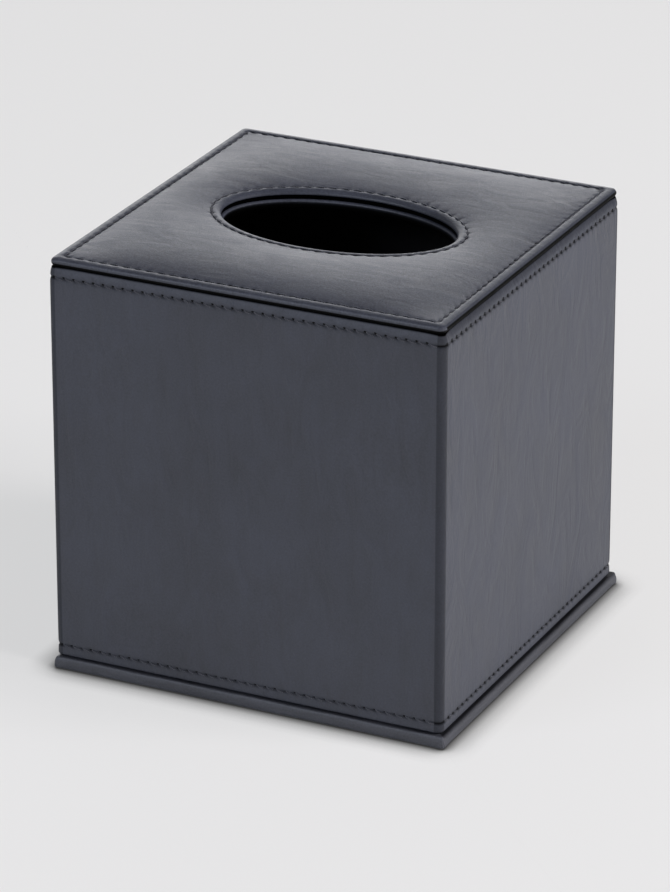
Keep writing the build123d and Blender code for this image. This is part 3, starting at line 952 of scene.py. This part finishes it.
def stitching():
    wall = dict(Stitches=WALL_STITCHES, Slant=-0.32, Upright=1.0,
                Length=2.9 * MM, Thread=0.26 * MM, Rise=0.42 * MM, Hole=0.33 * MM)
    for name, node, height, seed in (
        ("wall_top_thread", "wall_top_stitching", UPPER_ROW, 3),
        ("wall_foot_thread", "wall_foot_stitching", FOOT_ROW, 5),
    ):
        sew(name, node, sides(WALL_ROW, WALL_PITCH, HALF, height), False, Seed=seed, **wall)
    top = dict(Upright=0.0, Length=3.3 * MM, Thread=0.23 * MM, Rise=0.34 * MM, Hole=0.46 * MM)
    edge = sides(PANEL_ROW, PANEL_PITCH, HALF - ROW_INSET, EDGE_SEAM)
    sew("panel_edge_thread", "panel_edge_stitching", edge, False,
        Stitches=PANEL_STITCHES, Slant=-0.24, Seed=7, **top)
    ring = oval(RING_OFFSET, np.linspace(0, 2 * math.pi, 361)[:-1])
    ring = [(x + MIDDLE, y, RING_SEAM) for x, y in ring]
    sew("opening_thread", "opening_stitching", [ring], True,
        Stitches=RING_STITCHES, Slant=-0.08, Seed=9, **top)


# ---------------------------------------------------------------- pieces that keep their CAD shape


def finish_nodes():
    finishes = {
        "board": BOARD, "suede": LINING_SUEDE, "felt": UNDER_FELT, "magnet": MAGNET,
        "leather": PANEL_LEATHER,
    }
    for row in frame["record"]["subparts"]:
        finish = finishes.get(row["material_slot"])
        if finish is not None:
            materials = NODES[row["node"]].data.materials
            materials.clear()
            materials.append(finish)


# ---------------------------------------------------------------- studio

PAPER = 0.776  # the background's linear tone


def studio_world():
    """A pale room, dimmer overhead and where a dark flag stands behind at the right."""
    f = Finish("studio", bpy.data.worlds, "Generated")
    bpy.context.scene.world = f.owner
    height = f.node("ShaderNodeSeparateXYZ", None, {0: f.place}, 2)
    overhead = f.ramp(height, 0.05, 0.6, 1.0, 0.22)
    to_flag = f.node(
        "ShaderNodeVectorMath", {"operation": "DOT_PRODUCT"}, {0: f.place, 1: (0.54, 0.84, 0.0)}, 1,
    )
    flag = f.ramp(to_flag, 0.45, 0.9, 1.0, 0.12)
    room = f.blend(overhead * flag, (0.0, 0.0, 0.0, 1.0), (0.48, 0.48, 0.49, 1.0))
    seen = f.node("ShaderNodeLightPath", out="Is Camera Ray")
    sky = f.blend(seen, room, grey(PAPER))
    light = f.node("ShaderNodeBackground", None, {"Color": sky, "Strength": 1.0})
    f.node("ShaderNodeOutputWorld", None, {"Surface": light})


def softboxes():
    """The lamps: where each stands and aims, its size, power and tint, and whether gloss shows it.
    The key's own gloss comes from a wide dim panel in its place, so that the top doesn't glare."""
    for name, stand, aim, size, watts, tint, glossy in (
        ("right_softbox", (2450, 200, 1650), (0, 0, 70), (1500, 1100), 86, (1.0, 0.95, 0.955), False),
        ("right_panel", (2450, 200, 1650), (0, 0, 70), (2600, 1900), 19, (1.0, 0.97, 0.98), True),
        ("back_softbox", (-1700, 3600, 900), (0, 0, 120), (3000, 1300), 35, (0.955, 0.965, 1.0), True),
        ("front_softbox", (-1000, -1950, 1450), (0, 0, 70), (1300, 900), 18, (0.79, 0.85, 1.0), True),
    ):
        lamp = bpy.data.lights.new(name, "AREA")
        lamp.shape = "RECTANGLE"
        lamp.size, lamp.size_y = size[0] * MM, size[1] * MM
        lamp.energy, lamp.color = watts, tint
        made = link(name, lamp)
        made.location = Vector(stand) * MM
        made.rotation_euler = (Vector(aim) - Vector(stand)).to_track_quat("-Z", "Y").to_euler()
        made.visible_glossy = glossy


def paper():
    """The floor's paper. Seen, also in the leather, it is a little paler than it lights the box,
    and it has a painted contact shadow close to the box."""
    f = Finish("pale_floor")
    seen = f.node("ShaderNodeLightPath", out="Is Camera Ray")
    seen = seen + f.node("ShaderNodeLightPath", out="Is Glossy Ray")

    def open_to(reach):
        sockets = {"Distance": reach * MM}
        return f.node("ShaderNodeAmbientOcclusion", {"samples": 16}, sockets, "AO")

    # painted contact shadow: ambient occlusion darkens the paper's colour close to the box
    near = open_to(11) ** 1.9 * open_to(3.5) ** 1.5
    diffuse = f.blend(seen, grey(PAPER), f.blend(near, grey(0.05), grey(0.91)))
    lit = f.node("ShaderNodeBsdfDiffuse", None, {"Color": diffuse})
    glow = f.blend(near, grey(0.05), grey(0.80))
    flat = f.node("ShaderNodeEmission", None, {"Color": glow, "Strength": 1.0})
    mixed = f.node("ShaderNodeMixShader", None, {0: seen * 0.72, 1: lit, 2: flat})
    f.node("ShaderNodeOutputMaterial", None, {"Surface": mixed})
    return f.owner


def floor():
    far = 9000.0
    corners = np.array([[(x, y, 0.0) for x in (-far, far)] for y in (far, -far)])
    sheet_mesh("floor", corners, False, paper())


def camera():
    """A view from the front, right and a little above, through a long lens."""
    azimuth, elevation, away = math.radians(25.66), math.radians(22.83), 1706.6
    aim_right, aim_up = -0.0007, -0.0050  # the middle of the frame, off the target
    target = Vector((MIDDLE, 0.0, HALF + 4.6))
    level = math.cos(elevation)
    back = Vector((math.sin(azimuth) * level, -math.cos(azimuth) * level, math.sin(elevation)))
    right = Vector((math.cos(azimuth), math.sin(azimuth), 0.0))
    look = (-back + aim_right * right + aim_up * back.cross(right)).normalized()
    data = bpy.data.cameras.new("viewpoint")
    data.lens, data.sensor_width = 207.97, 36.0
    data.clip_start, data.clip_end = 0.05, 20.0
    made = link("viewpoint", data)
    made.location = (target + back * away) * MM
    made.rotation_euler = look.to_track_quat("-Z", "Y").to_euler()
    bpy.context.scene.camera = made


bpy.context.scene.view_settings.view_transform = "Standard"
camera()
finish_nodes()
panel()
wall_skin()
rim()
hinge()
base_skin()
stitching()
floor()
studio_world()
softboxes()
